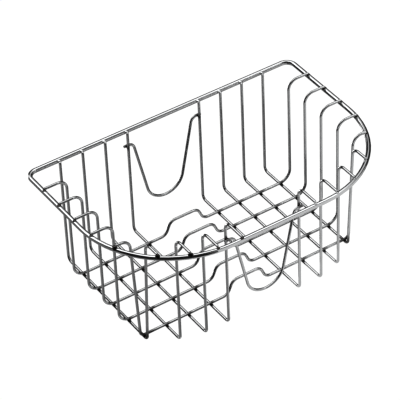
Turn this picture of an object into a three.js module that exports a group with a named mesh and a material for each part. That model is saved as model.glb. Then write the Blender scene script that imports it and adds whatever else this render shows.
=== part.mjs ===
// A hanging sink basket: a cage of welded, chromed wire below a thick D-shaped rim.
// Millimetres, +Z up, +X along the straight back of the rim, +Y towards that back.
// The origin lies under the middle of the rim, on the plane that the cross wires stand on.
import * as THREE from 'three';
import { mergeVertices } from 'three/addons/utils/BufferGeometryUtils.js';

// Wire stock. Every bend radius is to the centre of the wire.
const RIM_DIAMETER = 6;
const RIM_SIDES = 12;
const WIRE_DIAMETER = 3.4;
const WIRE_SIDES = 8;
// Clearance between two wires that are welded together
const WELD_GAP = 0.3;
// Greatest distance between a bend and the straight facets that follow it
const CHORD_ERROR = 0.15;
const CHROME_COLOUR = 0xc6cacd;

// Rim: outside length and depth, height of its centre above the floor
const RIM_LENGTH = 390;
const RIM_DEPTH = 257;
const RIM_HEIGHT = 155.2;
const RIM_BACK_BEND = 12.5;
const RIM_FRONT_BEND = 126.5;
// Wires that lie on the rim end this far short of its outer edge
const RIM_EDGE_LEFT_FREE = 3.5;

// Long wires, counted from the back. The front one is shorter and leans inwards to its foot.
const LONG_WIRE_COUNT = 5;
const FIRST_LONG_FROM_BACK_RIM = 41.9;
const LAST_LONG_FROM_FRONT_RIM = 72.3;
const SIDE_WALL_FROM_RIM = 30.5;
const LONG_TOP_BEND = 13;
const LONG_FOOT_BEND = 16;
const FRONT_LONG_FROM_RIM = 19.9;
const FRONT_LONG_LEAN = 6.5;
const FRONT_LONG_FOOT_BEND = 7;

// Hump in the middle of each long wire
const HUMP_RISE = 19.3;
const HUMP_TOP_WIDTH = 40;
const HUMP_FOOT_WIDTH = 56.6;
const HUMP_BEND = 10.6;

// Cross wires, half of them on each side of the open middle bay
const CROSS_WIRES_PER_SIDE = 4;
const MIDDLE_BAY_WIDTH = 104.4;
const OUTER_CROSS_FROM_SIDE_WALL = 13.5;
const BACK_END_ABOVE_RIM_CENTRE = 1.5;
const BACK_FOOT_BEND = 7;
const FRONT_FOOT_BEND = 6;
const FRONT_TOP_BEND = 12;
// The four middle cross wires have an upright front. The next pair and the outer pair lean.
const FRONT_WALL_FROM_RIM = 34.6;
const NEXT_TOP_FROM_RIM = 31.6;
const NEXT_FOOT_FROM_LONG_WIRE = 29;
const OUTER_TOP_FROM_RIM = 26;
const OUTER_FOOT_FROM_LONG_WIRE = 6;

// Loops that close the middle bay of the back and the front
const LOOP_BELOW_RIM = 21.7;
const LOOP_TOP_WIDTH = 86.2;
const LOOP_LEG_LEAN = THREE.MathUtils.degToRad(12);
const LOOP_BOTTOM_BEND = 26.6;
const LOOP_SHOULDER_BEND = 9;
const LOOP_END_PAST_CROSS_WIRE = 4.5;

// Heights at which the welded wires seat on each other
const crossFloorHeight = WIRE_DIAMETER / 2;
const longFloorHeight = crossFloorHeight + WIRE_DIAMETER + WELD_GAP;
const onRimHeight = RIM_HEIGHT + RIM_DIAMETER / 2 + WELD_GAP + WIRE_DIAMETER / 2;

// Centre line of the rim
const rimSideX = (RIM_LENGTH - RIM_DIAMETER) / 2;
const rimBackY = (RIM_DEPTH - RIM_DIAMETER) / 2;
const rimFrontY = -rimBackY;
const rimBendCentreX = rimSideX - RIM_FRONT_BEND;
const rimBendCentreY = rimFrontY + RIM_FRONT_BEND;
const endPastRimCentre = RIM_DIAMETER / 2 - RIM_EDGE_LEFT_FREE;

// Half length of the rim at a depth, and its front at a distance from the middle
function rimXAt(y) {
  const ahead = Math.max(rimBendCentreY - y, 0);
  return rimBendCentreX + Math.sqrt(RIM_FRONT_BEND ** 2 - ahead ** 2);
}

function rimYAt(x) {
  const aside = Math.max(Math.abs(x) - rimBendCentreX, 0);
  return rimBendCentreY - Math.sqrt(RIM_FRONT_BEND ** 2 - aside ** 2);
}

// Centre line of a bent wire: straight legs between corners, and an arc at each corner.
// Bends too wide for the leg between them shrink in proportion until they meet.
class WirePath extends THREE.Curve {
  constructor(corners, bends) {
    super();
    const legs = corners.slice(1).map((corner, i) => corner.clone().sub(corners[i]));
    const lengths = legs.map((leg) => leg.length());
    const headings = legs.map((leg) => leg.normalize());
    const trims = bends.map((bend, i) => bend * Math.tan(headings[i].angleTo(headings[i + 1]) / 2));
    const shares = lengths.map((length, i) => length / ((trims[i - 1] ?? 0) + (trims[i] ?? 0)));
    this.points = [corners[0]];
    this.directions = [headings[0]];
    bends.forEach((bend, i) => {
      const radius = bend * Math.min(1, shares[i], shares[i + 1]);
      this.addBend(corners[i + 1], headings[i], headings[i + 1], radius);
    });
    this.points.push(corners.at(-1));
    this.directions.push(headings.at(-1));
  }

  addBend(corner, arriving, leaving, radius) {
    const turn = arriving.angleTo(leaving);
    const start = corner.clone().addScaledVector(arriving, -radius * Math.tan(turn / 2));
    const inward = leaving.clone().addScaledVector(arriving, -leaving.dot(arriving)).normalize();
    const chordAngle = 2 * Math.acos(1 - CHORD_ERROR / radius);
    const steps = Math.ceil(turn / chordAngle);
    for (let i = 0; i <= steps; i++) {
      const angle = (turn * i) / steps;
      const point = start.clone().addScaledVector(arriving, radius * Math.sin(angle));
      this.points.push(point.addScaledVector(inward, radius * (1 - Math.cos(angle))));
      const direction = arriving.clone().multiplyScalar(Math.cos(angle));
      this.directions.push(direction.addScaledVector(inward, Math.sin(angle)));
    }
  }

  get steps() {
    return this.points.length - 1;
  }

  getUtoTmapping(u) {
    return u;
  }

  getPoint(t) {
    return this.points[Math.round(t * this.steps)].clone();
  }

  getTangent(t) {
    return this.directions[Math.round(t * this.steps)].clone();
  }
}

// Cross-section of a wire: a regular polygon, flat on all four quarters, as thick across its flats as the wire
function wireSection(diameter, sides) {
  const cornerRadius = diameter / 2 / Math.cos(Math.PI / sides);
  const outline = [];
  for (let i = 0; i < sides; i++) {
    const angle = ((i + 0.5) * 2 * Math.PI) / sides;
    outline.push(new THREE.Vector2(cornerRadius * Math.cos(angle), cornerRadius * Math.sin(angle)));
  }
  return new THREE.Shape(outline);
}

function sweptWire(path, diameter, sides) {
  const section = wireSection(diameter, sides);
  return new THREE.ExtrudeGeometry(section, { steps: path.steps, extrudePath: path, bevelEnabled: false });
}

// A wire whose ends meet: only the swept side is kept, and its first and last rings become one
function closedWire(path, diameter, sides) {
  const swept = sweptWire(path, diameter, sides);
  const side = swept.groups[1];
  const positions = swept.getAttribute('position').array.slice(side.start * 3, (side.start + side.count) * 3);
  const open = new THREE.BufferGeometry();
  open.setAttribute('position', new THREE.BufferAttribute(positions, 3));
  const closed = mergeVertices(open, 1e-3);
  closed.computeVertexNormals();
  return closed;
}

function chromePiece(name, geometry) {
  const material = new THREE.MeshStandardMaterial({ color: CHROME_COLOUR, metalness: 1, roughness: 0.1 });
  const piece = new THREE.Mesh(geometry, material);
  piece.name = name;
  return piece;
}

function rimWire() {
  const startOfRim = new THREE.Vector3(0, rimBackY, 0);
  const corners = [
    startOfRim,
    new THREE.Vector3(rimSideX, rimBackY, 0),
    new THREE.Vector3(rimSideX, rimFrontY, 0),
    new THREE.Vector3(-rimSideX, rimFrontY, 0),
    new THREE.Vector3(-rimSideX, rimBackY, 0),
    startOfRim,
  ];
  const bends = [RIM_BACK_BEND, RIM_FRONT_BEND, RIM_FRONT_BEND, RIM_BACK_BEND];
  const rim = chromePiece('rim_wire', closedWire(new WirePath(corners, bends), RIM_DIAMETER, RIM_SIDES));
  rim.position.z = RIM_HEIGHT;
  return rim;
}

// One half of a wire is given from its end to the middle, as X, Z corners and bends. The other half mirrors it.
function mirroredWire(halfCorners, halfBends) {
  const left = halfCorners.map(([x, z]) => new THREE.Vector3(-x, 0, z));
  const right = halfCorners.map(([x, z]) => new THREE.Vector3(x, 0, z)).reverse();
  const path = new WirePath([...left, ...right], [...halfBends, ...halfBends.toReversed()]);
  return sweptWire(path, WIRE_DIAMETER, WIRE_SIDES);
}

const firstLongY = rimBackY - FIRST_LONG_FROM_BACK_RIM;
const lastLongY = rimFrontY + LAST_LONG_FROM_FRONT_RIM;
const longPitch = (firstLongY - lastLongY) / (LONG_WIRE_COUNT - 1);
const sideWallX = rimSideX - SIDE_WALL_FROM_RIM;

function longWire(number) {
  const y = firstLongY - (number - 1) * longPitch;
  const isFront = number === LONG_WIRE_COUNT;
  const topX = isFront ? rimXAt(y) - FRONT_LONG_FROM_RIM : sideWallX;
  const footX = isFront ? topX - FRONT_LONG_LEAN : sideWallX;
  const footBend = isFront ? FRONT_LONG_FOOT_BEND : LONG_FOOT_BEND;
  const halfCorners = [
    [rimXAt(y) + endPastRimCentre, onRimHeight],
    [topX, onRimHeight],
    [footX, longFloorHeight],
    [HUMP_FOOT_WIDTH / 2, longFloorHeight],
    [HUMP_TOP_WIDTH / 2, longFloorHeight + HUMP_RISE],
  ];
  const halfBends = [LONG_TOP_BEND, footBend, HUMP_BEND, HUMP_BEND];
  const wire = chromePiece(`long_wire_${number}`, mirroredWire(halfCorners, halfBends));
  wire.position.y = y;
  return wire;
}

const backWallY = rimBackY - RIM_DIAMETER / 2 - WELD_GAP - WIRE_DIAMETER / 2;
const frontWallY = rimFrontY + FRONT_WALL_FROM_RIM;
const innerCrossX = MIDDLE_BAY_WIDTH / 2;
const outerCrossX = sideWallX - OUTER_CROSS_FROM_SIDE_WALL;
const crossPitch = (outerCrossX - innerCrossX) / (CROSS_WIRES_PER_SIDE - 1);

// Depth of the top and the foot of a cross wire's front, by its rank from the outside
function crossFront(rank, x) {
  if (rank === 1) {
    return { topY: rimYAt(x) + OUTER_TOP_FROM_RIM, footY: lastLongY - OUTER_FOOT_FROM_LONG_WIRE };
  }
  if (rank === 2) {
    return { topY: rimYAt(x) + NEXT_TOP_FROM_RIM, footY: lastLongY - NEXT_FOOT_FROM_LONG_WIRE };
  }
  return { topY: frontWallY, footY: frontWallY };
}

function crossWire(number) {
  const isLeft = number <= CROSS_WIRES_PER_SIDE;
  const rank = isLeft ? number : 2 * CROSS_WIRES_PER_SIDE + 1 - number;
  const fromMiddle = outerCrossX - (rank - 1) * crossPitch;
  const { topY, footY } = crossFront(rank, fromMiddle);
  const corners = [
    new THREE.Vector3(0, backWallY, RIM_HEIGHT + BACK_END_ABOVE_RIM_CENTRE),
    new THREE.Vector3(0, backWallY, crossFloorHeight),
    new THREE.Vector3(0, footY, crossFloorHeight),
    new THREE.Vector3(0, topY, onRimHeight),
    new THREE.Vector3(0, rimYAt(fromMiddle) - endPastRimCentre, onRimHeight),
  ];
  const path = new WirePath(corners, [BACK_FOOT_BEND, FRONT_FOOT_BEND, FRONT_TOP_BEND]);
  const wire = chromePiece(`cross_wire_${number}`, sweptWire(path, WIRE_DIAMETER, WIRE_SIDES));
  wire.position.x = isLeft ? -fromMiddle : fromMiddle;
  return wire;
}

// The two legs of a loop run towards one low point, where the bottom bend rounds them off
function bayLoop(name, y) {
  const shoulderX = LOOP_TOP_WIDTH / 2;
  const lowPoint = new THREE.Vector3(0, 0, -shoulderX / Math.tan(LOOP_LEG_LEAN));
  const endX = innerCrossX + LOOP_END_PAST_CROSS_WIRE;
  const corners = [
    new THREE.Vector3(-endX, 0, 0),
    new THREE.Vector3(-shoulderX, 0, 0),
    lowPoint,
    new THREE.Vector3(shoulderX, 0, 0),
    new THREE.Vector3(endX, 0, 0),
  ];
  const path = new WirePath(corners, [LOOP_SHOULDER_BEND, LOOP_BOTTOM_BEND, LOOP_SHOULDER_BEND]);
  const loop = chromePiece(name, sweptWire(path, WIRE_DIAMETER, WIRE_SIDES));
  loop.position.set(0, y, RIM_HEIGHT - LOOP_BELOW_RIM);
  return loop;
}

const basket = new THREE.Group();
basket.name = 'hanging_sink_basket';
basket.add(rimWire());
for (let number = 1; number <= LONG_WIRE_COUNT; number++) {
  basket.add(longWire(number));
}
for (let number = 1; number <= 2 * CROSS_WIRES_PER_SIDE; number++) {
  basket.add(crossWire(number));
}
const weldedBeside = WIRE_DIAMETER + WELD_GAP;
basket.add(bayLoop('back_loop', backWallY + weldedBeside));
basket.add(bayLoop('front_loop', frontWallY - weldedBeside));

export default basket;
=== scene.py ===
import math

import bpy
import numpy as np
from mathutils import Matrix, Vector


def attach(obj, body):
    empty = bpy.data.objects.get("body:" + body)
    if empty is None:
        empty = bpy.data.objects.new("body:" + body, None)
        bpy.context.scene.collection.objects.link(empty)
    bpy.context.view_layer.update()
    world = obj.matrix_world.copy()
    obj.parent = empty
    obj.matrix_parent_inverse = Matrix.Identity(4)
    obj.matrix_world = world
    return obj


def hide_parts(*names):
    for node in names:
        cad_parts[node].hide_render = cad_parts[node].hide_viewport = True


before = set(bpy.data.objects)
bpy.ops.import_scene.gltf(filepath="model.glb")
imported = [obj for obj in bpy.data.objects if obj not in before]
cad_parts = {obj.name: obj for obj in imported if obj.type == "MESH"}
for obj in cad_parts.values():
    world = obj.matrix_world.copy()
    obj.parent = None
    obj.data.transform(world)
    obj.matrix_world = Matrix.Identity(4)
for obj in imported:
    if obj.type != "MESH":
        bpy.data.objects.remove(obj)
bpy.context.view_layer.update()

MM = 0.001

# Sizes of the basket in millimetres, the same as those of the solids
RIM_DIAMETER, WIRE_DIAMETER, WELD_GAP = 6.0, 3.4, 0.3
RIM_LENGTH, RIM_DEPTH, RIM_HEIGHT = 390.0, 257.0, 155.2
RIM_BACK_BEND, RIM_FRONT_BEND, RIM_EDGE_LEFT_FREE = 12.5, 126.5, 3.5
LONG_WIRE_COUNT, FIRST_LONG_FROM_BACK_RIM, LAST_LONG_FROM_FRONT_RIM = 5, 41.9, 72.3
SIDE_WALL_FROM_RIM, LONG_TOP_BEND, LONG_FOOT_BEND = 30.5, 13.0, 16.0
FRONT_LONG_FROM_RIM, FRONT_LONG_LEAN, FRONT_LONG_FOOT_BEND = 19.9, 6.5, 7.0
HUMP_RISE, HUMP_TOP_WIDTH, HUMP_FOOT_WIDTH, HUMP_BEND = 19.3, 40.0, 56.6, 10.6
CROSS_WIRES_PER_SIDE, MIDDLE_BAY_WIDTH, OUTER_CROSS_FROM_SIDE_WALL = 4, 104.4, 13.5
BACK_END_ABOVE_RIM_CENTRE, BACK_FOOT_BEND = 1.5, 7.0
FRONT_FOOT_BEND, FRONT_TOP_BEND = 6.0, 12.0
FRONT_WALL_FROM_RIM, NEXT_TOP_FROM_RIM, NEXT_FOOT_FROM_LONG_WIRE = 34.6, 31.6, 29.0
OUTER_TOP_FROM_RIM, OUTER_FOOT_FROM_LONG_WIRE = 26.0, 6.0
LOOP_BELOW_RIM, LOOP_TOP_WIDTH, LOOP_LEG_LEAN = 21.7, 86.2, math.radians(12)
LOOP_BOTTOM_BEND, LOOP_SHOULDER_BEND, LOOP_END_PAST_CROSS_WIRE = 26.6, 9.0, 4.5

# Fineness of the round wires, and the rounding of their cut ends
ARC_STEP, FEWEST_ARC_STEPS, LEG_STEP = math.radians(5), 4, 4.0
RIM_SIDES, WIRE_SIDES, BEAD_SIDES, BEAD_RINGS = 32, 20, 24, 11
END_ROUNDING, END_CROWN, END_RINGS = 0.5, 0.4, 6

# Weld beads: half sizes along and across the lower wire and towards the upper one. A back bead sinks into
# the end of its wire and leans to the front, on a seat so wide that it counts as flat.
RIM_BEAD, BRIGHT_BEAD, WIRE_BEAD = (2.2, 2.2, 0.9), (1.8, 1.5, 0.6), (2.2, 2.0, 0.75)
BACK_BEAD, BACK_BEAD_SINKS, BACK_BEAD_LEAN = (2.1, 2.4, 0.7), 0.5, math.radians(16)
FLAT_SEAT = 1000.0
HEAVY_BEAD, HEAVY_FRONT_BEADS = (3.2, 3.0, 2.4), 2
BEAD_WAVE, BEAD_VARIETY, DRAPE_LIMIT = 0.07, 0.12, 0.95

# Heat of the welds and painted shade, as a mark on the beads and as the distance at which it shows on the
# wires. At the welds it is weld heat tint together with painted shade of the creases; at the two front corner
# feet it is painted shade only.
HEATED_AND_SHADED, NOT_DARKENED = 1, 0
WELD_HEAT_AND_SHADE_REACH, CORNER_SHADE_REACH = 3.8, 14.5

# Seats of the welded wires, and the centre line of the rim
ALONG, ACROSS, UP = np.eye(3)
NEARLY_ZERO = 1e-6
wire_radius, rim_radius, half_gap = WIRE_DIAMETER / 2, RIM_DIAMETER / 2, WELD_GAP / 2
cross_floor = wire_radius
long_floor = cross_floor + WIRE_DIAMETER + WELD_GAP
on_rim = RIM_HEIGHT + rim_radius + WELD_GAP + wire_radius
rim_side, rim_back = RIM_LENGTH / 2 - rim_radius, RIM_DEPTH / 2 - rim_radius
rim_bend_x, rim_bend_y = rim_side - RIM_FRONT_BEND, RIM_FRONT_BEND - rim_back
end_past_rim = rim_radius - RIM_EDGE_LEFT_FREE


def rim_x_at(y):
    """Half length of the rim at depth y: the front bend's centre plus half the circle's chord there."""
    return rim_bend_x + math.sqrt(RIM_FRONT_BEND ** 2 - max(rim_bend_y - y, 0) ** 2)


def rim_y_at(x):
    """Front of the rim at distance x from the middle: the bend's centre less half the circle's chord."""
    return rim_bend_y - math.sqrt(RIM_FRONT_BEND ** 2 - max(abs(x) - rim_bend_x, 0) ** 2)


def rim_heading(x, y):
    """Direction of the rim at a point: along the front or side, or square to the spoke of the front bend."""
    spoke = np.array([math.copysign(max(abs(x) - rim_bend_x, 0), x), min(y - rim_bend_y, 0), 0])
    if abs(spoke[0]) < NEARLY_ZERO:
        return ALONG
    if abs(spoke[1]) < NEARLY_ZERO:
        return ACROSS
    return np.cross(UP, spoke / np.linalg.norm(spoke))


# Places of the wires
first_long, last_long = rim_back - FIRST_LONG_FROM_BACK_RIM, LAST_LONG_FROM_FRONT_RIM - rim_back
long_places = np.linspace(first_long, last_long, LONG_WIRE_COUNT)
side_wall = rim_side - SIDE_WALL_FROM_RIM
outer_cross, inner_cross = side_wall - OUTER_CROSS_FROM_SIDE_WALL, MIDDLE_BAY_WIDTH / 2
cross_from_middle = np.linspace(outer_cross, inner_cross, CROSS_WIRES_PER_SIDE)
cross_places = np.concatenate([-cross_from_middle, cross_from_middle[::-1]])
back_wall = rim_back - rim_radius - WELD_GAP - wire_radius
front_wall = FRONT_WALL_FROM_RIM - rim_back
welded_beside = WIRE_DIAMETER + WELD_GAP
loop_height = RIM_HEIGHT - LOOP_BELOW_RIM

# Welds, each as its middle, the lower wire's heading and the way from it to the upper wire
on_rim_top = RIM_HEIGHT + rim_radius + half_gap
side_welds = [((s * rim_x_at(y), y, on_rim_top), rim_heading(s * rim_x_at(y), y), UP)
              for s in (1, -1) for y in long_places]
front_welds = [((x, rim_y_at(x), on_rim_top), rim_heading(x, rim_y_at(x)), UP) for x in cross_places]
heavy_welds = side_welds[-1:] + front_welds[:HEAVY_FRONT_BEADS]
rim_welds = side_welds[:-1] + front_welds[HEAVY_FRONT_BEADS:CROSS_WIRES_PER_SIDE]
front_right_welds = front_welds[CROSS_WIRES_PER_SIDE:]
back_ends = RIM_HEIGHT + BACK_END_ABOVE_RIM_CENTRE
leaning = math.cos(BACK_BEAD_LEAN) * UP - math.sin(BACK_BEAD_LEAN) * ACROSS
back_weld_y = rim_back - rim_radius - half_gap
back_weld_z = back_ends + BACK_BEAD[2] - BACK_BEAD_SINKS
back_welds = [((x, back_weld_y, back_weld_z), ALONG, leaning) for x in cross_places]
floor_welds = [((x, y, cross_floor + wire_radius + half_gap), ACROSS, UP)
               for y in long_places for x in cross_places]
loop_welds = [((s * inner_cross, wall + way[1] * (wire_radius + half_gap), loop_height), UP, way)
              for wall, way in ((back_wall, ACROSS), (front_wall, -ACROSS)) for s in (-1, 1)]
# Painted shade: the floor and loop welds mark weld heat tint and the shade of their creases, and the two
# front corner feet mark painted shade alone, for the dark lower ends of their uprights.
heated_and_shaded_places = np.array([weld[0] for weld in floor_welds + loop_welds])
corner_y, corner_z = last_long - OUTER_FOOT_FROM_LONG_WIRE / 2, cross_floor + wire_radius
shaded_corner_feet = np.array([(s * outer_cross, corner_y, corner_z) for s in (-1, 1)])


def bent_path(corners, bends):
    """Centre line of a bent wire and its headings. Straight legs join the corners, and at each inner corner
    an arc of the given radius touches both legs: start + radius (sin a along + (1 - cos a) inwards)."""
    corners = np.asarray(corners, float)
    legs = np.diff(corners, axis=0)
    along = legs / np.linalg.norm(legs, axis=1, keepdims=True)
    points, headings = [corners[:1]], [along[:1]]

    def leg_to(target, heading):
        start = points[-1][-1]
        count = max(1, math.ceil(np.linalg.norm(target - start) / LEG_STEP))
        share = np.linspace(0, 1, count + 1)[1:-1, None]
        if count > 1:
            points.append(start + (target - start) * share)
            headings.append(np.repeat(heading[None], count - 1, axis=0))

    for corner, arriving, leaving, radius in zip(corners[1:-1], along[:-1], along[1:], bends):
        turn = math.acos(np.clip(arriving @ leaving, -1, 1))
        inward = leaving - (leaving @ arriving) * arriving
        inward /= np.linalg.norm(inward)
        start = corner - arriving * radius * math.tan(turn / 2)
        leg_to(start, arriving)
        angle = np.linspace(0, turn, max(FEWEST_ARC_STEPS, math.ceil(turn / ARC_STEP)) + 1)[:, None]
        points.append(start + radius * (np.sin(angle) * arriving + (1 - np.cos(angle)) * inward))
        headings.append(np.cos(angle) * arriving + np.sin(angle) * inward)
    leg_to(corners[-1], along[-1])
    points.append(corners[-1:])
    headings.append(along[-1:])
    return np.vstack(points), np.vstack(headings)


def lengths_along(points):
    """Length from the first point to each point, summed over the straight steps between them."""
    return np.append(0, np.cumsum(np.linalg.norm(np.diff(points, axis=0), axis=1)))


def tube_piece(name, rings, poles, run, marks):
    """A piece of one or more tubes. Rings are tube x ring x side x 3 in millimetres. Poles are tube x 2 x 3
    and close both ends, or None where the last ring joins the first. The UV map holds the length along the
    tube in metres and the share of a turn round it. Marks are values for each point."""
    tubes, count, sides = rings.shape[:3]
    spans = count if poles is None else count - 1
    ring, side = np.broadcast_arrays(np.arange(spans)[:, None, None] + np.array([0, 0, 1, 1]),
                                     np.arange(sides)[None, :, None] + np.array([0, 1, 1, 0]))
    faces = (ring % count * sides + side % sides).reshape(-1, 4)
    uv = np.stack([run[ring], side / sides], -1).reshape(-1, 2)
    grid = rings.reshape(tubes, -1, 3)
    points = grid if poles is None else np.concatenate([grid, poles], 1)
    starts = np.arange(tubes)[:, None, None] * points.shape[1]
    all_faces = (faces + starts).reshape(-1, 4).tolist()
    all_uv = [np.tile(uv, (tubes, 1))]
    if poles is not None:
        near, far = np.arange(sides), np.arange(1, sides + 1)
        last, pole = (count - 1) * sides, np.full(sides, count * sides)
        caps = np.concatenate([np.stack([pole, far % sides, near], -1),
                               np.stack([pole + 1, last + near, last + far % sides], -1)])
        between = (near + far) / 2
        cap_turn = np.concatenate([np.stack([between, far, near], -1), np.stack([between, near, far], -1)])
        cap_run = np.repeat([run[0], run[-1]], 3 * sides).reshape(-1, 3)
        all_faces += (caps + starts).reshape(-1, 3).tolist()
        all_uv.append(np.tile(np.stack([cap_run, cap_turn / sides], -1).reshape(-1, 2), (tubes, 1)))
    mesh = bpy.data.meshes.new(name)
    mesh.from_pydata(points.reshape(-1, 3) * MM, [], all_faces)
    mesh.polygons.foreach_set("use_smooth", np.ones(len(mesh.polygons), bool))
    uv_map = mesh.uv_layers.new(name="along_wire")
    uv_map.data.foreach_set("uv", (np.vstack(all_uv) * [MM, 1]).astype(np.float32).ravel())
    for label, values in marks.items():
        mark = mesh.attributes.new(label, "FLOAT", "POINT")
        mark.data.foreach_set("value", np.asarray(values, np.float32))
    mesh.update()
    piece = bpy.data.objects.new(name, mesh)
    bpy.context.scene.collection.objects.link(piece)
    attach(piece, "root")
    return piece


def weld_heat_and_painted_shade(points):
    """Weld heat tint and painted shade: one at a weld, falling off with the fourth power of the distance as a
    flat-topped bell of the weld reach in millimetres, or of the corner reach at the two front corner feet,
    where it is painted shade only. The stronger of the two counts."""
    shares = [np.exp(-(np.linalg.norm(points[:, None] - places[None], axis=2).min(axis=1) / reach) ** 4)
              for places, reach in ((heated_and_shaded_places, WELD_HEAT_AND_SHADE_REACH), (shaded_corner_feet, CORNER_SHADE_REACH))]
    return np.maximum(*shares)


def round_wire(node, slot, points, headings, plane, radius, sides):
    """A round wire along its centre line: point + radius (cos turn plane + sin turn (heading x plane)), where
    plane is square to the wire's bends. A cut end is rolled off by a quarter circle and slightly crowned."""
    closed = np.allclose(points[0], points[-1])
    run = lengths_along(points)
    if closed:
        points, headings, poles = points[:-1], headings[:-1], None
        radii, cut = np.full(len(points), radius), np.zeros(len(points))
    else:
        # the last ring lies at half the radius of the end, where the crown has dropped by a quarter
        roll = np.linspace(0, np.pi / 2, END_RINGS)
        end_radius = np.append(radius - END_ROUNDING * (1 - np.cos(roll)), (radius - END_ROUNDING) / 2)
        end_back = np.append(END_CROWN + END_ROUNDING * (1 - np.sin(roll)), END_CROWN / 4)
        end_cut = np.append(np.sin(roll), 1)
        poles = points[[0, -1]][None]
        head = points[0] + end_back[::-1, None] * headings[0]
        tail = points[-1] - end_back[:, None] * headings[-1]
        middle = len(points) - 2
        radii = np.concatenate([end_radius[::-1], np.full(middle, radius), end_radius])
        cut = np.concatenate([end_cut[::-1], np.zeros(middle), end_cut])
        headings = np.repeat(headings, np.r_[END_RINGS + 1, np.ones(middle, int), END_RINGS + 1], axis=0)
        points = np.vstack([head, points[1:-1], tail])
        run = lengths_along(points)
    turn = np.arange(sides) * 2 * np.pi / sides
    first = np.broadcast_to(plane, headings.shape)
    second = np.cross(headings, first)
    spoke = np.cos(turn)[:, None] * first[:, None] + np.sin(turn)[:, None] * second[:, None]
    rings = points[:, None] + radii[:, None, None] * spoke
    heat_and_shade, cut = np.repeat(weld_heat_and_painted_shade(points), sides), np.repeat(cut, sides)
    if poles is not None:
        heat_and_shade, cut = np.append(heat_and_shade, weld_heat_and_painted_shade(poles[0])), np.append(cut, [1, 1])
    piece = tube_piece(node + "_round", rings[None], poles, run, {"weld_heat_and_painted_shade": heat_and_shade, "cut_end": cut})
    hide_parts(node)
    return piece


def weld_beads(name, welds, half_sizes, lower_radius, heat_and_shade, seed):
    """Beads of weld metal where two wires touch. Each is an ellipsoid about the weld's middle:
    cos rise (along cos turn heading + across sin turn (way x heading)) + up sin rise way. It is draped over
    the round lower wire, so it sinks by radius - sqrt(radius squared - offset squared). Slow waves of the
    turn make its girth uneven, and its size differs a little from weld to weld. All its points carry the
    given mark of weld heat tint and painted shade."""
    middle, heading, way = (np.array([weld[k] for weld in welds], float) for k in range(3))
    along, across, up = half_sizes
    chance = np.random.default_rng(seed)
    size = 1 + BEAD_VARIETY * chance.uniform(-1, 1, (len(welds), 1))
    phase = chance.uniform(0, 2 * np.pi, (len(welds), 2, 1))
    turn = np.arange(BEAD_SIDES) * 2 * np.pi / BEAD_SIDES
    girth = size * (1 + BEAD_WAVE * (np.sin(2 * turn + phase[:, 0]) + np.sin(3 * turn + phase[:, 1])))
    spoke = (along * np.cos(turn)[None, :, None] * heading[:, None]
             + across * np.sin(turn)[None, :, None] * np.cross(way, heading)[:, None]) * girth[..., None]
    rise = np.linspace(-np.pi / 2, np.pi / 2, BEAD_RINGS + 2)[1:-1]
    offset = across * np.cos(rise)[None, :, None] * (np.sin(turn) * girth)[:, None]
    offset = np.minimum(np.abs(offset), DRAPE_LIMIT * lower_radius)
    lift = up * np.sin(rise)[None, :, None] - lower_radius + np.sqrt(lower_radius ** 2 - offset ** 2)
    rings = (middle[:, None, None] + np.cos(rise)[None, :, None, None] * spoke[:, None]
             + lift[..., None] * way[:, None, None])
    poles = np.stack([middle - up * way, middle + up * way], 1)
    marks = np.ones(len(welds) * (BEAD_RINGS * BEAD_SIDES + 2))
    run = along * (rise - rise[0])
    return tube_piece(name, rings, poles, run, {"weld_heat_and_painted_shade": heat_and_shade * marks, "cut_end": 0 * marks})


pieces = {}
rim_corners = [(0, rim_back), (rim_side, rim_back), (rim_side, -rim_back), (-rim_side, -rim_back),
               (-rim_side, rim_back), (0, rim_back)]
rim_path = bent_path([(x, y, RIM_HEIGHT) for x, y in rim_corners],
                     [RIM_BACK_BEND, RIM_FRONT_BEND, RIM_FRONT_BEND, RIM_BACK_BEND])
pieces["rim_wire"] = round_wire("rim_wire", "rim", *rim_path, UP, rim_radius, RIM_SIDES)

for number, y in enumerate(long_places, 1):
    is_front = number == LONG_WIRE_COUNT
    top = rim_x_at(y) - FRONT_LONG_FROM_RIM if is_front else side_wall
    foot = top - FRONT_LONG_LEAN if is_front else side_wall
    half = [(rim_x_at(y) + end_past_rim, on_rim), (top, on_rim), (foot, long_floor),
            (HUMP_FOOT_WIDTH / 2, long_floor), (HUMP_TOP_WIDTH / 2, long_floor + HUMP_RISE)]
    bends = [LONG_TOP_BEND, FRONT_LONG_FOOT_BEND if is_front else LONG_FOOT_BEND, HUMP_BEND, HUMP_BEND]
    corners = [(-x, y, z) for x, z in half] + [(x, y, z) for x, z in half[::-1]]
    node = f"long_wire_{number}"
    path = bent_path(corners, bends + bends[::-1])
    pieces[node] = round_wire(node, "wire", *path, ACROSS, wire_radius, WIRE_SIDES)

for number, x in enumerate(cross_places, 1):
    rank = min(number, len(cross_places) + 1 - number)
    top = foot = front_wall
    if rank == 1:
        top, foot = rim_y_at(x) + OUTER_TOP_FROM_RIM, last_long - OUTER_FOOT_FROM_LONG_WIRE
    elif rank == 2:
        top, foot = rim_y_at(x) + NEXT_TOP_FROM_RIM, last_long - NEXT_FOOT_FROM_LONG_WIRE
    corners = [(x, back_wall, back_ends), (x, back_wall, cross_floor),
               (x, foot, cross_floor), (x, top, on_rim), (x, rim_y_at(x) - end_past_rim, on_rim)]
    node = f"cross_wire_{number}"
    path = bent_path(corners, [BACK_FOOT_BEND, FRONT_FOOT_BEND, FRONT_TOP_BEND])
    pieces[node] = round_wire(node, "wire", *path, ALONG, wire_radius, WIRE_SIDES)

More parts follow.
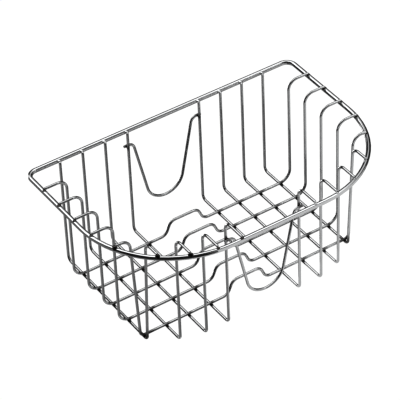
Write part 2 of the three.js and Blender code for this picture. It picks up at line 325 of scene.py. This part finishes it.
for node, y in (("back_loop", back_wall + welded_beside), ("front_loop", front_wall - welded_beside)):
    shoulder, end = LOOP_TOP_WIDTH / 2, inner_cross + LOOP_END_PAST_CROSS_WIRE
    low = loop_height - shoulder / math.tan(LOOP_LEG_LEAN)
    corners = [(-end, y, loop_height), (-shoulder, y, loop_height), (0, y, low), (shoulder, y, loop_height),
               (end, y, loop_height)]
    path = bent_path(corners, [LOOP_SHOULDER_BEND, LOOP_BOTTOM_BEND, LOOP_SHOULDER_BEND])
    pieces[node] = round_wire(node, "wire", *path, ACROSS, wire_radius, WIRE_SIDES)

# Each kind of weld: its places, half sizes of a bead, radius of the wire below, mark of weld heat and painted
# shade, and random seed
WELD_KINDS = {
    "rim_welds": (rim_welds, RIM_BEAD, rim_radius, HEATED_AND_SHADED, 1),
    "front_right_welds": (front_right_welds, BRIGHT_BEAD, rim_radius, NOT_DARKENED, 5),
    "front_left_welds": (heavy_welds, HEAVY_BEAD, rim_radius, HEATED_AND_SHADED, 6),
    "back_welds": (back_welds, BACK_BEAD, FLAT_SEAT, NOT_DARKENED, 2),
    "floor_welds": (floor_welds, WIRE_BEAD, wire_radius, HEATED_AND_SHADED, 3),
    "loop_welds": (loop_welds, WIRE_BEAD, wire_radius, HEATED_AND_SHADED, 4),
}
for name, details in WELD_KINDS.items():
    pieces[name] = weld_beads(name, *details)

# Chrome plate: scales and detail of the haze's noise and the range it is stretched from, the lines of the
# drawing die, and how haze, weld heat with painted shade, and shearing change the tone and the gloss
HAZE_SCALE, HAZE_DETAIL, FINE_HAZE_SCALE, FINE_HAZE_DETAIL = 90.0, 3.0, 900.0, 2.0
HAZE_FROM, HAZE_TO = 0.15, 0.42
LINE_STRETCH, LINE_DETAIL, LINE_STRENGTH, LINE_DEPTH = 9.0, 3.0, 0.05, 0.00004
HAZE_DARKENING, HEAT_AND_SHADE_WITHOUT_HAZE, HEAT_DULLING, CUT_DULLING = 0.06, 0.85, 0.15, 0.15


def new_group(name, inputs, outputs):
    """A shader node group with named float, colour or vector sockets."""
    group = bpy.data.node_groups.new(name, "ShaderNodeTree")
    for label, kind, value in inputs:
        socket = group.interface.new_socket(label, in_out="INPUT", socket_type="NodeSocket" + kind)
        if value is not None:
            socket.default_value = value
    for label, kind in outputs:
        group.interface.new_socket(label, in_out="OUTPUT", socket_type="NodeSocket" + kind)
    return group, group.nodes.new("NodeGroupInput"), group.nodes.new("NodeGroupOutput")


def add(tree, kind, settings=None, **inputs):
    """A node with its settings and its input values or links, named by the input's label or as _number."""
    node = tree.nodes.new("ShaderNode" + kind)
    for key, value in (settings or {}).items():
        setattr(node, key, value)
    for key, value in inputs.items():
        socket = node.inputs[int(key[1:]) if key[1:].isdigit() else key.replace("_", " ")]
        if isinstance(value, bpy.types.NodeSocket):
            tree.links.new(value, socket)
        else:
            socket.default_value = value
    return node


def calculate(tree, operation, *values):
    """The result of a math node on values or links."""
    inputs = {f"_{number}": value for number, value in enumerate(values)}
    return add(tree, "Math", {"operation": operation}, **inputs).outputs[0]


def ramp(tree, value, start, end, low=0.0, high=1.0):
    """A smooth step from low to high as the value goes from start to end."""
    return add(tree, "MapRange", {"interpolation_type": "SMOOTHSTEP"}, Value=value, From_Min=start,
               From_Max=end, To_Min=low, To_Max=high).outputs[0]


def mix_colours(tree, factor, first, second, blend="MIX"):
    """Two colours mixed by a factor. They are inputs 6 and 7 of the node, and its output 2 is the mix."""
    settings = {"data_type": "RGBA", "blend_type": blend}
    return add(tree, "Mix", settings, Factor=factor, _6=first, _7=second).outputs[2]


def plate_haze_group():
    """Cloudy variation of a bright plate: two sizes of noise, from zero to one."""
    group, given, out = new_group("plate_haze", [("Place", "Vector", None), ("Size", "Float", HAZE_SCALE)],
                                  [("Haze", "Float")])
    place, size = given.outputs["Place"], given.outputs["Size"]
    broad = add(group, "TexNoise", Vector=place, Scale=size, Detail=HAZE_DETAIL)
    fine = add(group, "TexNoise", Vector=place, Scale=FINE_HAZE_SCALE, Detail=FINE_HAZE_DETAIL)
    both = calculate(group, "MULTIPLY", broad.outputs[0], fine.outputs[0])
    group.links.new(ramp(group, both, HAZE_FROM, HAZE_TO), out.inputs["Haze"])
    return group


def drawing_lines_group():
    """Fine lines that the drawing die leaves along a wire: noise stretched along the UV map's length."""
    group, given, out = new_group("drawing_lines", [("Along", "Vector", None), ("Lines", "Float", None)],
                                  [("Height", "Float")])
    apart = add(group, "SeparateXYZ", Vector=given.outputs["Along"])
    length = calculate(group, "MULTIPLY", apart.outputs[0], LINE_STRETCH)
    around = calculate(group, "MULTIPLY", apart.outputs[1], given.outputs["Lines"])
    place = add(group, "CombineXYZ", X=length, Y=around)
    lines = add(group, "TexNoise", Vector=place.outputs[0], Scale=1.0, Detail=LINE_DETAIL)
    group.links.new(lines.outputs[0], out.inputs["Height"])
    return group


PLATE_HAZE, DRAWING_LINES = plate_haze_group(), drawing_lines_group()


def chrome(name, bright, scorched_and_shaded, smooth, rough, lines):
    """Bright chrome plate on drawn wire. Hazy clouds change its tone and gloss, and die lines its surface.
    It is darker and duller where the heat mark lies, which is weld heat tint and painted shade of the weld
    creases at the welds, and painted shade alone at the two front corner feet. It is dull on sheared ends."""
    material = bpy.data.materials.new(name)
    material.use_nodes = True
    tree = material.node_tree
    shader = tree.nodes["Principled BSDF"]
    shader.inputs["Metallic"].default_value = 1.0
    place = add(tree, "TexCoord")
    haze = add(tree, "Group", {"node_tree": PLATE_HAZE}, Place=place.outputs["Object"]).outputs["Haze"]
    drawn = add(tree, "Group", {"node_tree": DRAWING_LINES}, Along=place.outputs["UV"], Lines=lines)
    heat_and_shade = add(tree, "Attribute", {"attribute_name": "weld_heat_and_painted_shade"}).outputs["Fac"]
    cut = add(tree, "Attribute", {"attribute_name": "cut_end"}).outputs["Fac"]
    patchy = ramp(tree, haze, 0.0, 1.0, HEAT_AND_SHADE_WITHOUT_HAZE, 1.0)
    scorch_and_shade = calculate(tree, "MULTIPLY", heat_and_shade, patchy)
    tone = mix_colours(tree, scorch_and_shade, bright, scorched_and_shaded)
    cloud = ramp(tree, haze, 0.0, 1.0, 1.0, 1.0 - HAZE_DARKENING)
    clouded = mix_colours(tree, 1.0, tone, cloud, "MULTIPLY")
    tree.links.new(clouded, shader.inputs["Base Color"])
    gloss = ramp(tree, haze, 0.0, 1.0, smooth, rough)
    heated = calculate(tree, "MULTIPLY_ADD", scorch_and_shade, HEAT_DULLING, gloss)
    dulled = calculate(tree, "MULTIPLY_ADD", cut, CUT_DULLING, heated)
    tree.links.new(dulled, shader.inputs["Roughness"])
    bump = add(tree, "Bump", Strength=LINE_STRENGTH, Distance=LINE_DEPTH, Height=drawn.outputs["Height"])
    tree.links.new(bump.outputs[0], shader.inputs["Normal"])
    return material


BRIGHT_RIM, BRIGHT_WIRE = (0.8, 0.805, 0.81, 1), (0.74, 0.745, 0.75, 1)
# The dark heated tone paints shade as well as weld heat tint: the weld creases and the two front corner feet
# are darkened with it.
SCORCHED_AND_SHADED, SHADED_BEAD_TONE = (0.07, 0.068, 0.066, 1), (0.16, 0.155, 0.15, 1)
FINISHES = {
    # tone, dark tone where weld heat and painted shade are marked, roughness where clear and where hazy,
    # number of die lines
    "rim": (BRIGHT_RIM, SCORCHED_AND_SHADED, 0.02, 0.05, 40.0),
    "wire": (BRIGHT_WIRE, SCORCHED_AND_SHADED, 0.03, 0.06, 24.0),
    # the weld finish's dark tone is painted shade for the dark creases at the welds
    "weld": (SHADED_BEAD_TONE, SHADED_BEAD_TONE, 0.1, 0.2, 8.0),
}
finishes = {kind: chrome(kind + "_chrome", *details) for kind, details in FINISHES.items()}
# Painted shade: the side, front left, floor and loop welds take the dark weld finish, while the front right
# and back welds keep the bright wire finish.
SHADED_WELDS = ("rim_welds", "front_left_welds", "floor_welds", "loop_welds")
finish_of = {"rim_wire": "rim", **dict.fromkeys(SHADED_WELDS, "weld")}
for name, piece in pieces.items():
    piece.data.materials.append(finishes[finish_of.get(name, "wire")])

# Camera, at the viewing angle of the picture
YAW, PITCH, ROLL = (math.radians(angle) for angle in (32.1188, 39.7004, 2.6088))
CAMERA_PLACE = (-1.2486313, -1.9442486, 2.0248509)
FOCAL_LENGTH_IN_PIXELS, PIXELS_ACROSS, SENSOR = 2494.429, 400, 36.0
NEAREST_SEEN, FARTHEST_SEEN = 0.1, 30.0
forward = Vector((math.sin(YAW) * math.cos(PITCH), math.cos(YAW) * math.cos(PITCH), -math.sin(PITCH)))
level = Vector((math.cos(YAW), -math.sin(YAW), 0))
down = forward.cross(level)
right = math.cos(ROLL) * level + math.sin(ROLL) * down
down = math.cos(ROLL) * down - math.sin(ROLL) * level
lens = bpy.data.cameras.new("camera")
lens.sensor_fit, lens.sensor_width = "HORIZONTAL", SENSOR
lens.lens = FOCAL_LENGTH_IN_PIXELS / PIXELS_ACROSS * SENSOR
lens.clip_start, lens.clip_end = NEAREST_SEEN, FARTHEST_SEEN
camera = bpy.data.objects.new("camera", lens)
pointed = Matrix((right, -down, -forward)).transposed().to_4x4()
camera.matrix_world = Matrix.Translation(CAMERA_PLACE) @ pointed
bpy.context.scene.collection.objects.link(camera)
bpy.context.scene.camera = camera


# Floor, and four pale cards that only the chrome mirrors
def glowing(name, tone, glow):
    """A dull sheet that gives off light."""
    material = bpy.data.materials.new(name)
    material.use_nodes = True
    shader = material.node_tree.nodes["Principled BSDF"]
    shader.inputs["Base Color"].default_value = (tone, tone, tone, 1)
    shader.inputs["Roughness"].default_value = 1.0
    shader.inputs["Specular IOR Level"].default_value = 0.0
    shader.inputs["Emission Color"].default_value = (1, 1, 1, 1)
    shader.inputs["Emission Strength"].default_value = glow
    return material


def sheet(name, corners, material):
    """A flat sheet with four corners in metres."""
    mesh = bpy.data.meshes.new(name)
    mesh.from_pydata(corners, [], [(0, 1, 2, 3)])
    mesh.materials.append(material)
    piece = bpy.data.objects.new(name, mesh)
    bpy.context.scene.collection.objects.link(piece)
    return piece


HALF_FLOOR, FLOOR_LEVEL, CARD_LEVEL = 6.0, -0.0004, -0.0002
FLOOR_TONE, FLOOR_GLOW, CARD_TONE, LYING_GLOW = 0.12, 0.97, 0.0, 0.75
FLOOR_CORNERS = [(x * HALF_FLOOR, y * HALF_FLOOR) for x, y in ((-1, -1), (1, -1), (1, 1), (-1, 1))]
LYING_CORNERS = [(-0.05, -0.1), (-0.05, -0.26), (0.42, -0.26), (0.42, 0.05)]
STANDING_CARDS = {
    # both ends in plan, lower and upper edge, glow
    "near_card": ((-0.08, -0.165), (0.9, -0.165), 0.09, 0.21, 0.8),
    "far_card": ((0.45, -1.0), (1.5, -1.0), 0.0, 0.5, 0.8),
    "left_card": ((-0.26, 0.22), (-0.26, -0.054), 0.09, 0.195, 0.28),
}
floor = sheet("floor", [(x, y, FLOOR_LEVEL) for x, y in FLOOR_CORNERS],
              glowing("white_paper", FLOOR_TONE, FLOOR_GLOW))
floor.visible_glossy = False
cards = [sheet("lying_card", [(x, y, CARD_LEVEL) for x, y in LYING_CORNERS],
               glowing("lying_card", CARD_TONE, LYING_GLOW))]
for name, (start, end, low, high, glow) in STANDING_CARDS.items():
    corners = [(*start, low), (*end, low), (*end, high), (*start, high)]
    cards.append(sheet(name, corners, glowing(name, CARD_TONE, glow)))
for card in cards:
    card.visible_camera = False
    card.visible_diffuse = False
    card.visible_shadow = False

# Studio: a dome that brightens upwards, with lighter and darker walls. Bearings are from the camera's side,
# to the right positive, and all angles are in degrees.
DOME_FROM, DOME_TO, DOME_LOW, DOME_HIGH = 27, 60, 0.1, 1.5
ALL_ROUND = 200
VIEW_GAMMA = 0.6
WALLS = [
    # bearing, half width, height, half height, soft edge, brightness
    (0, ALL_ROUND, -60, 33, 5, 0.37),  # grey floor all round
    (-120, 30, 42, 16, 2, 1.5),        # white wall at the back on the left
    (135, 45, 42, 8, 4, 0.8),          # light band along the wall at the back on the right
    (70, 3, 42, 18, 2, 2.2),           # upright strip lamp on the right
    (65, 40, -15, 28, 5, 0.2),         # grey screen low on the right
    (-25, 60, 18, 54, 4, 0.05),        # dark room behind the camera
    (-70, 22, -30, 9, 8, 0.75),        # soft glow low on the left
    (140, 12, 0, 16, 5, 0.04),         # dark corner at the back on the right
    (-165, 12, 6, 28, 3, 0.05),        # dark corner at the back on the left
    (30, 40, -61, 8, 3, 1.0),          # bright patch of the floor on the camera's side
    (20, 70, 70, 24, 2, 0.07),         # dark ceiling on the camera's side
    (-100, 20, -12, 24, 3, 0.04),      # dark screen low on the left
    (-137, 8, -17, 12, 2, 3.5),        # low strip lamp at the back on the left
    (97, 6, -17, 12, 2, 2.2),          # low strip lamp on the right
]
world = bpy.data.worlds.new("studio")
bpy.context.scene.world = world
world.use_nodes = True
tree = world.node_tree
tree.nodes.clear()
way = add(tree, "TexCoord").outputs["Generated"]
near = add(tree, "VectorMath", {"operation": "DOT_PRODUCT"}, _0=way, _1=(-math.sin(YAW), -math.cos(YAW), 0))
aside = add(tree, "VectorMath", {"operation": "DOT_PRODUCT"}, _0=way, _1=(math.cos(YAW), -math.sin(YAW), 0))
bearing = calculate(tree, "ARCTAN2", aside.outputs["Value"], near.outputs["Value"])
rise = calculate(tree, "ARCSINE", add(tree, "SeparateXYZ", Vector=way).outputs["Z"])
light = ramp(tree, rise, math.radians(DOME_FROM), math.radians(DOME_TO), DOME_LOW, DOME_HIGH)
for *angles, brightness in WALLS:
    centre, half_width, height, half_height, edge = (math.radians(angle) for angle in angles)
    turned = calculate(tree, "WRAP", calculate(tree, "SUBTRACT", bearing, centre), math.pi, -math.pi)
    aside_off = calculate(tree, "ABSOLUTE", turned)
    height_off = calculate(tree, "ABSOLUTE", calculate(tree, "SUBTRACT", rise, height))
    within = calculate(tree, "MULTIPLY", ramp(tree, aside_off, half_width + edge, half_width - edge),
                       ramp(tree, height_off, half_height + edge, half_height - edge))
    # inputs 2 and 3 of the node are the two values it mixes
    light = add(tree, "Mix", Factor=within, _2=light, _3=brightness).outputs[0]
surround = add(tree, "Background", Color=(1, 1, 1, 1), Strength=light)
white = add(tree, "Background", Color=(1, 1, 1, 1), Strength=1.0)
seen = add(tree, "LightPath").outputs["Is Camera Ray"]
either = add(tree, "MixShader", Fac=seen, _1=surround.outputs[0], _2=white.outputs[0])
tree.links.new(either.outputs[0], add(tree, "OutputWorld").inputs["Surface"])
bpy.context.scene.view_settings.view_transform = "Standard"
bpy.context.scene.view_settings.gamma = VIEW_GAMMA
